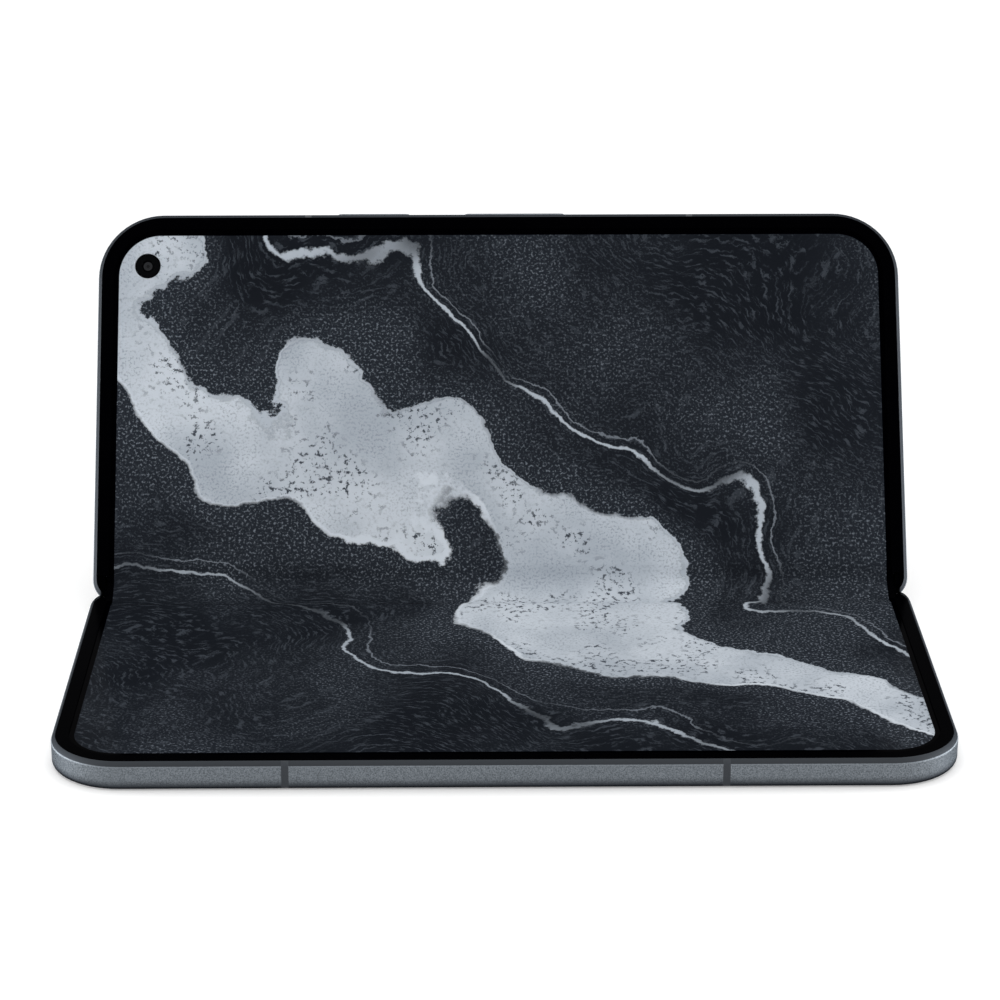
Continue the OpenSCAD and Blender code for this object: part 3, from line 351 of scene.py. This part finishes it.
def frame_metal(f):
    """Bead-blasted, anodised aluminium, darker on the bevel round the lip; painted highlight under
    the bevel, painted shade at the wall's foot and in the pocket at the hinge.
    """
    grain = f.noise(4.6, detail=2, roughness=0.6)
    cloud = f.noise(0.06, detail=2)
    height = f.part(f.at, "Z")
    foot = (frame_high.z - base_axis.z) / MM - RIM_H
    back = (frame_low.z - base_axis.z) / MM
    # painted highlight: a pale line just under the bevel
    painted_glint = f.times(f.past(height, foot, PAINTED_GLINT_RISE), f.past(height, foot, PAINTED_GLINT_FALL))
    # painted shade: darker towards the wall's foot, by the back
    painted_foot_shade = f.times(f.past(height, back, FOOT_SHADE_FALL), f.past(height, back, FOOT_SHADE_RISE))

    tone = f.mix(f.spread(grain), "#53585d", "#7d8389")
    tone = f.mix(f.spread(cloud, 0, 0.2), tone, "#61676c")
    tone = f.mix(painted_foot_shade, tone, "#303338")
    tone = f.mix(f.times(painted_glint, PAINTED_GLINT_SHARE), tone, "#8a9096")
    tone = f.mix(f.past(height, foot, BEVEL_FADE), tone, "#3c3f43")
    # painted shade, near black, in the pocket at the hinge
    tone = f.mix(painted_hinge_shade(f, height, back), tone, "#08090a")
    f.surface(Base_Color=tone, Metallic=1.0, Specular_Tint=EDGE_TINT,
              Roughness=f.past(height, foot, MATT_FADE, WALL_ROUGHNESS, BEVEL_ROUGHNESS))
    f.relief(grain, 0.006, edge=0.06)


def break_plastic(f):
    """Plastic of the antenna breaks."""
    grained(f, f.noise(5), "#2d3136", "#383c42", 0.45, 0.004, Specular_IOR_Level=0.25)


def lip_plastic(f):
    """Black satin lip round the screen."""
    grained(f, f.noise(4), "#000001", "#020203", (0.16, 0.2), 0.003, edge=0.1,
            Specular_IOR_Level=0.001)


def strata(f, at):
    """Place across the strata and along them, as the stone's layers bend and fray."""
    sweep = f.swing(f.noise(1.15, detail=2, at=at), 1.5)
    ragged = f.swing(f.noise(7, detail=8, roughness=0.66, at=at), 0.12)
    across = f.math("ADD", f.vector("DOT_PRODUCT", at, STRATA_NORMAL),
                    f.math("ADD", sweep, ragged))
    return across, f.vector("DOT_PRODUCT", at, STRATA_RUN)


def slate(f, at, grit, across, along):
    """Dark stone, with ripples along the strata and pale dust that thickens towards the band."""
    flow = f.join(f.times(across, 60), f.times(along, 16))
    ripples = f.noise(1.7, detail=4, roughness=0.6, at=flow)
    from_band = f.math("ABSOLUTE", f.math("SUBTRACT", across, sum(PALE_BAND) / 2))
    dust = f.math("ADD", f.noise(1.7, detail=3, at=at), f.between(from_band, 0.26, 0.1, 0, 0.2))
    rippled = f.times(f.between(ripples, 0.52, 0.64), f.between(dust, 0.7, 0.4, 0.15, 0.75))
    dusted = f.times(f.between(grit, 0.53, 0.66), f.between(dust, 0.4, 0.68, 0, 0.95))
    tone = f.mix(f.between(dust, 0.35, 0.7), "#16191e", "#23272d")
    tone = f.mix(rippled, tone, "#3d4249")
    return f.mix(dusted, tone, "#6b727b")


def pale_stone(f, flat, at, grit):
    """The pale band's stone, with clusters of dark specks and finer grain between them."""
    clusters = f.noise(5.5, detail=3, at=at)
    specks = f.noise(0.9, detail=4, roughness=0.7, at=flat)
    grained_share = f.times(f.between(grit, 0.5, 0.62), f.between(clusters, 0.56, 0.4, 0, 0.5))
    speckled = f.times(f.between(specks, 0.53, 0.6), f.between(clusters, 0.46, 0.6))
    tone = f.mix(f.between(f.noise(3.2, detail=4, at=at), 0.35, 0.65), "#9fa7b0", "#bdc4cc")
    tone = f.mix(grained_share, tone, "#6f767f")
    return f.mix(speckled, tone, "#3f444c")


def add_veins(f, at, across, tone):
    """Pale veins along the strata, which fade in and out."""
    fading = f.noise(2.6, detail=2, at=f.vector("ADD", at, (7, 3, 0)))
    for place, half_width, code in VEINS:
        away = f.math("ABSOLUTE", f.math("SUBTRACT", across, place))
        vein = f.times(f.between(away, half_width, half_width * 0.3),
                       f.between(fading, 0.38, 0.56, 0.12, 1.0))
        tone = f.mix(vein, tone, code)
    return tone


def stone_pattern(f, flat):
    """Generic picture for the display: a pale band and veins across speckled, dark stone."""
    at = f.vector("MULTIPLY", flat, (1 / PICTURE_UNIT, 1 / PICTURE_UNIT, 0))
    across, along = strata(f, at)
    grit = f.noise(2.1, detail=3, roughness=0.6, at=flat)
    low, high = PALE_BAND
    band = f.times(f.past(across, low, BAND_RISE), f.past(across, high, BAND_FALL))
    tone = f.mix(band, slate(f, at, grit, across, along), pale_stone(f, flat, at, grit))
    return add_veins(f, at, across, tone)


def screen(f):
    """Flexible display: a picture inside a black border, under a clear film."""
    flat = f.node("Attribute", attribute_name="flat").outputs["Vector"]
    reach_x = body_half / MM - BORDER_SIDE - DISPLAY_R
    reach_y = half_len / MM - BORDER_END - DISPLAY_R
    beyond = f.vector("SUBTRACT", f.vector("ABSOLUTE", flat), (reach_x, reach_y, 0))
    beyond = f.vector("MULTIPLY", f.vector("MAXIMUM", beyond, (0, 0, 0)), (1, 1, 0))
    lit = f.past(f.vector("LENGTH", beyond), DISPLAY_R, (DISPLAY_SOFT, -DISPLAY_SOFT))
    film = f.noise(0.05, detail=1, at=flat)
    f.surface(Base_Color=f.mix(lit, "#000001", stone_pattern(f, flat)),
              Roughness=f.spread(film, 0.1, 0.14), Specular_IOR_Level=0.002)
    f.relief(film, 0.01)


def face_glass(f):
    """Polished black glass over the outer display."""
    smear = f.noise(0.12, detail=3)
    grained(f, smear, "#08090b", "#0d0e11", f.between(smear, 0.35, 0.7, 0.05, 0.12), 0.004,
            edge=0.15, Coat_Weight=0.6, Coat_Roughness=0.03)


def back_panel(f):
    """Frosted glass on the back of the upper half."""
    sparkle = f.noise(6, detail=2, roughness=0.8)
    cloud = f.noise(0.05, detail=2)
    tone = f.mix(f.between(sparkle, 0.4, 0.65), "#2f3337", "#3c4045")
    f.surface(Base_Color=f.mix(f.spread(cloud, 0, 0.4), tone, "#383c41"),
              Roughness=f.spread(sparkle, 0.38, 0.5), Specular_IOR_Level=0.3)
    f.relief(sparkle, 0.004, edge=0.15)


def display_panel(f):
    """The outer display's panel, switched off, with its fine rows."""
    rows = f.math("SINE", f.times(f.part(f.at, "X"), 9))
    f.surface(Base_Color=f.mix(f.between(rows, -1, 1), "#15181d", "#20242b"), Roughness=0.3)
    f.relief(rows, 0.002)


def lens_glass(f):
    """Coated glass with a faint violet-green tint."""
    grained(f, f.noise(0.35, detail=1), "#07080f", "#060c0d", 0.04, 0.002,
            Specular_IOR_Level=0.2)


def camera_black(f):
    """Blackened barrel of the camera behind the screen."""
    grained(f, f.noise(5), "#010102", "#040506", 0.3, 0.002, Specular_IOR_Level=0.02)


def camera_lens(f):
    """Small lens with a dark pupil and paler, coated rings round it."""
    centre = (-(body_half / MM - PUNCH_IN.x / MM),
              half_len / MM - PUNCH_IN.y / MM - axis_y / MM, 0)
    from_centre = f.vector("MULTIPLY", f.vector("SUBTRACT", f.at, centre), (1, 1, 0))
    rings = f.ramp(f.vector("LENGTH", from_centre), [
        (0.0, "#020203"), (0.30, "#030304"), (0.38, "#232426"), (0.62, "#1b1c1e"),
        (0.7, "#2b2c2e"), (0.88, "#141517")])
    bloom = f.noise(1.2, detail=1)
    f.surface(Base_Color=f.mix(f.times(bloom, 0.3), rings, "#1d1f26"), Roughness=0.08,
              Specular_IOR_Level=0.12)
    f.relief(bloom, 0.002)


def black_plastic(f):
    """Moulded plastic of sockets, switches and small housings."""
    grained(f, f.noise(6, detail=3), "#0a0a0b", "#161618", (0.4, 0.6), 0.006)


def speaker_plastic(f):
    """Dull, coarser plastic of the sound boxes."""
    grained(f, f.noise(4, detail=4), "#1c1d1f", "#2a2b2e", (0.5, 0.7), 0.02)


def board(f):
    """Green solder resist over copper tracks, with small pads."""
    tracks = f.between(f.cells(0.55, feature="DISTANCE_TO_EDGE"), 0.05, 0.09)
    pads = f.between(f.cells(0.9), 0.16, 0.12)
    green = f.mix(tracks, "#2f7a52", "#174a32")
    f.surface(Base_Color=f.mix(pads, green, "#c9ac62"), Metallic=pads,
              Roughness=f.between(tracks, 0, 1, 0.32, 0.42))
    f.relief(tracks, 0.02)


def battery_foil(f):
    """Creased foil round a battery."""
    grained(f, f.noise(0.25, detail=5, roughness=0.6), "#8b8f95", "#b4b8bd", (0.3, 0.45), 0.08,
            Metallic=0.9)


def brushed(f, dark, pale, stretch, roughness):
    """Metal with fine parallel brush marks, drawn in a space stretched along one axis."""
    marks = f.noise(1, detail=4, roughness=0.7, at=f.vector("MULTIPLY", f.at, stretch))
    grained(f, marks, dark, pale, roughness, 0.006, edge=0.06, Metallic=1.0)


def steel(f):
    brushed(f, "#83878d", "#a9adb2", (0.4, 6, 6), (0.26, 0.38))


def spine_metal(f):
    brushed(f, "#3c4045", "#52565c", (0.3, 7, 7), (0.34, 0.46))


def gear_brass(f):
    brushed(f, "#a3874a", "#cdb072", (8, 2, 2), (0.22, 0.36))


def copper(f):
    """Enamelled wire, drawn as fine strands round the coil."""
    grained(f, f.noise(1.5, detail=3), "#8f4f24", "#c47a41", (0.25, 0.4), 0.02, Metallic=1.0)


def flash_lens(f):
    """Dimpled diffuser with a pale yellow cast."""
    grained(f, f.cells(2.2), "#f4efdc", "#dcd3b4", 0.25, 0.05, Coat_Weight=0.6,
            Coat_Roughness=0.05)


def led(f):
    """Yellow phosphor of the flash."""
    grained(f, f.noise(8), "#e6c24b", "#f0d67a", 0.6, 0.01)


FINISHES = {make.__name__: make for make in (
    frame_metal, break_plastic, lip_plastic, screen, face_glass, back_panel, display_panel,
    lens_glass, black_plastic, speaker_plastic, board, battery_foil, steel, spine_metal, gear_brass,
    copper, flash_lens, led, camera_black, camera_lens)}
# Nodes whose finish differs from the others of their slot
FINISH_OF = {"inner_camera": "camera_black", "inner_camera_lens": "camera_lens",
             "spine_end_caps": "lip_plastic"}

# Origin and slope of the flat space that each body's finishes are drawn in
SPACES = {"base": (base_axis, 0.0), "spine": (base_axis, tilt), "lid": (lid_axis, 2 * tilt)}
SPACE_OF = {"base": "base", "base_plate": "base", "tray": "base", "spine": "spine",
            "base_gears": "spine", "lid_gears": "spine"}
made_finishes = {}


def finish_for(slot, body):
    """The finish of a material slot, drawn in the space of the body that it is on."""
    space = SPACE_OF.get(body, "lid")
    if (slot, space) not in made_finishes:
        f = Finish(f"{slot}_{space}", *SPACES[space])
        FINISHES[slot](f)
        made_finishes[slot, space] = f.material
    return made_finishes[slot, space]


def dress_nodes():
    for part in frame["record"]["subparts"]:
        node = frame["nodes"][part["node"]]
        node.data.materials.clear()
        finish = FINISH_OF.get(part["node"], part["material_slot"])
        node.data.materials.append(finish_for(finish, node["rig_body"]))


# ---------- the bending screen ----------

def turned(y, z, angle):
    return Vector((0, y * math.cos(angle) - z * math.sin(angle),
                   y * math.sin(angle) + z * math.cos(angle)))


def ease(t):
    t = min(max(t, 0.0), 1.0)
    return t * t * (3 - 2 * t)


def bent(side, s, h, share):
    """Point of the screen at rest: s from the hinge plane, h above the axes, turned by a share."""
    if side == "lid":
        return lid_axis + turned(s - axis_y, h, tilt * (1 + share))
    return base_axis + turned(axis_y - s, h, tilt * (1 - share))


def bend_ends(side):
    """Where the bend starts, at the hinge plane, and where it ends."""
    return bent(side, 0, screen_top, 0), bent(side, BEND_L, screen_top, 1)


def settled(side, s, h):
    start, end = bend_ends(side)
    run = end - start
    share = ease(s / BEND_L)
    for _ in range(SETTLE_ROUNDS):
        share = ease((bent(side, s, h, share) - start).dot(run) / run.length_squared)
    return bent(side, s, h, share)


def arc_points(centre, radius, start, end, count):
    angles = [math.radians(start + (end - start) * i / count) for i in range(count + 1)]
    return [centre + Vector((math.cos(a), math.sin(a))) * radius for a in angles]


def sheet_outlines(hole):
    """Edges of one half of the screen in plan: x along the hinge, y from the hinge plane."""
    r = CORNER_R - (body_half - screen_half)
    x, y = screen_half, screen_reach
    outline = ([Vector((-x, 0)), Vector((x, 0))]
               + arc_points(Vector((x - r, y - r)), r, 0, 90, CORNER_SIDES)
               + arc_points(Vector((r - x, y - r)), r, 90, 180, CORNER_SIDES))
    if hole is None:
        return [outline]
    return [outline, arc_points(hole, PUNCH_R, 0, 360 - 360 / PUNCH_SIDES, PUNCH_SIDES - 1)]


def flat_sheet(name, hole):
    """One half of the screen as a flat mesh, with its thickness along z."""
    curve = bpy.data.curves.new(name, "CURVE")
    curve.dimensions = "2D"
    curve.fill_mode = "BOTH"
    curve.extrude = (screen_top - screen_bottom) / 2
    for points in sheet_outlines(hole):
        spline = curve.splines.new("POLY")
        spline.points.add(len(points) - 1)
        spline.use_cyclic_u = True
        for target, p in zip(spline.points, points):
            target.co = (p.x, p.y, 0, 1)
    drawn = bpy.data.objects.new(name + "_curve", curve)
    scene.collection.objects.link(drawn)
    depsgraph = bpy.context.evaluated_depsgraph_get()
    mesh = bpy.data.meshes.new_from_object(drawn.evaluated_get(depsgraph))
    bpy.data.objects.remove(drawn)
    mesh.name = name
    return mesh


def cut_bend(bm):
    """Cuts a flat sheet finely across its bend, so that it bends smoothly."""
    for i in range(1, BEND_CUTS + 1):
        bmesh.ops.bisect_plane(bm, geom=bm.verts[:] + bm.edges[:] + bm.faces[:],
                               plane_co=(0, BEND_L * BEND_CUT_REACH * i / BEND_CUTS, 0),
                               plane_no=(0, 1, 0))


def bend_sheet(bm, side):
    """Bends a flat sheet to its shape at rest. Its flat places stay with it, for the picture."""
    middle = (screen_top + screen_bottom) / 2
    flat = bm.verts.layers.float_vector.new("flat")
    for v in bm.verts:
        x, s, h = v.co.x, v.co.y, v.co.z + middle
        v[flat] = Vector((x, s if side == "lid" else -s, 0)) / MM
        v.co = settled(side, s, h) + Vector((x, 0, 0))


def shape_sheet(mesh, side):
    bm = bmesh.new()
    bm.from_mesh(mesh)
    bmesh.ops.remove_doubles(bm, verts=bm.verts, dist=WELD)
    cut_bend(bm)
    bend_sheet(bm, side)
    bmesh.ops.recalc_face_normals(bm, faces=bm.faces)
    if bm.calc_volume(signed=True) < 0:
        bmesh.ops.reverse_faces(bm, faces=bm.faces)
    bm.to_mesh(mesh)
    bm.free()
    mesh.shade_smooth()
    mesh.set_sharp_from_angle(angle=math.radians(SHARP_ANGLE))


def screen_sheet(side, hole=None):
    """One half of the screen, bent at rest over its half of the body and the spine."""
    mesh = flat_sheet(f"screen_sheet_{side}", hole)
    shape_sheet(mesh, side)
    piece = bpy.data.objects.new(mesh.name, mesh)
    scene.collection.objects.link(piece)
    mesh.materials.clear()
    mesh.materials.append(finish_for("screen", side))
    if side == "lid":
        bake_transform(piece)
    else:
        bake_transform(piece)
    return piece


def make_screen():
    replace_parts(screen_sheet("base"), "base_screen", "screen_fold")
    punch = Vector((-(body_half - PUNCH_IN.x), half_len - PUNCH_IN.y))
    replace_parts(screen_sheet("lid", punch), "lid_screen")


# ---------- studio ----------

def add_camera():
    data = bpy.data.cameras.new("camera")
    data.sensor_width = CAMERA_SENSOR
    data.lens = CAMERA_LENS
    data.clip_start, data.clip_end = CAMERA_CLIP
    camera = bpy.data.objects.new("camera", data)
    camera.location = CAMERA_AT
    camera.rotation_euler = (math.radians(90 - CAMERA_DOWN), 0, math.radians(CAMERA_TURN))
    scene.collection.objects.link(camera)
    scene.camera = camera


def add_softbox(name, at, towards, width, height, power):
    data = bpy.data.lights.new(name, "AREA")
    data.shape = "RECTANGLE"
    data.size, data.size_y = width, height
    data.energy = power
    lamp = bpy.data.objects.new(name, data)
    lamp.location = at
    lamp.rotation_euler = (Vector(towards) - Vector(at)).to_track_quat("-Z", "Y").to_euler()
    scene.collection.objects.link(lamp)


def add_world():
    """Even light from all round, with a white backdrop where it is seen."""
    world = bpy.data.worlds.new("studio")
    world.use_nodes = True
    scene.world = world
    w = Nodes(world.node_tree)
    background = w.tree.nodes["Background"]
    w.put(background.inputs["Color"], WHITE)
    w.put(background.inputs["Strength"], w.between(w.seen_directly(), 0, 1, AMBIENT, BACKDROP))


def floor_finish():
    """Pale matt floor that looks white where it is seen, with the object's shadow on it."""
    f = Surface("floor")
    away = f.vector("LENGTH", f.node("TexCoord").outputs["Object"])
    lift = f.between(away, FLOOR_LIFT_FROM, FLOOR_LIFT_TO, FLOOR_LIFT_NEAR, FLOOR_LIFT_FAR)
    f.surface(Base_Color=(FLOOR_ALBEDO, FLOOR_ALBEDO, FLOOR_ALBEDO, 1),
              Roughness=FLOOR_ROUGHNESS, Specular_IOR_Level=0.0, Emission_Color=WHITE,
              Emission_Strength=f.times(f.seen_directly(), lift))
    return f.material


def add_floor():
    mesh = bpy.data.meshes.new("floor")
    corners = ((-1, -1), (1, -1), (1, 1), (-1, 1))
    mesh.from_pydata([(x * FLOOR_REACH, y * FLOOR_REACH, FLOOR_AT) for x, y in corners], [],
                     [(0, 1, 2, 3)])
    floor = bpy.data.objects.new("floor", mesh)
    scene.collection.objects.link(floor)
    mesh.materials.append(floor_finish())


dress_nodes()
make_screen()
add_camera()
add_world()
add_floor()
for softbox in SOFTBOXES:
    add_softbox(*softbox)
scene.view_settings.view_transform = "Standard"
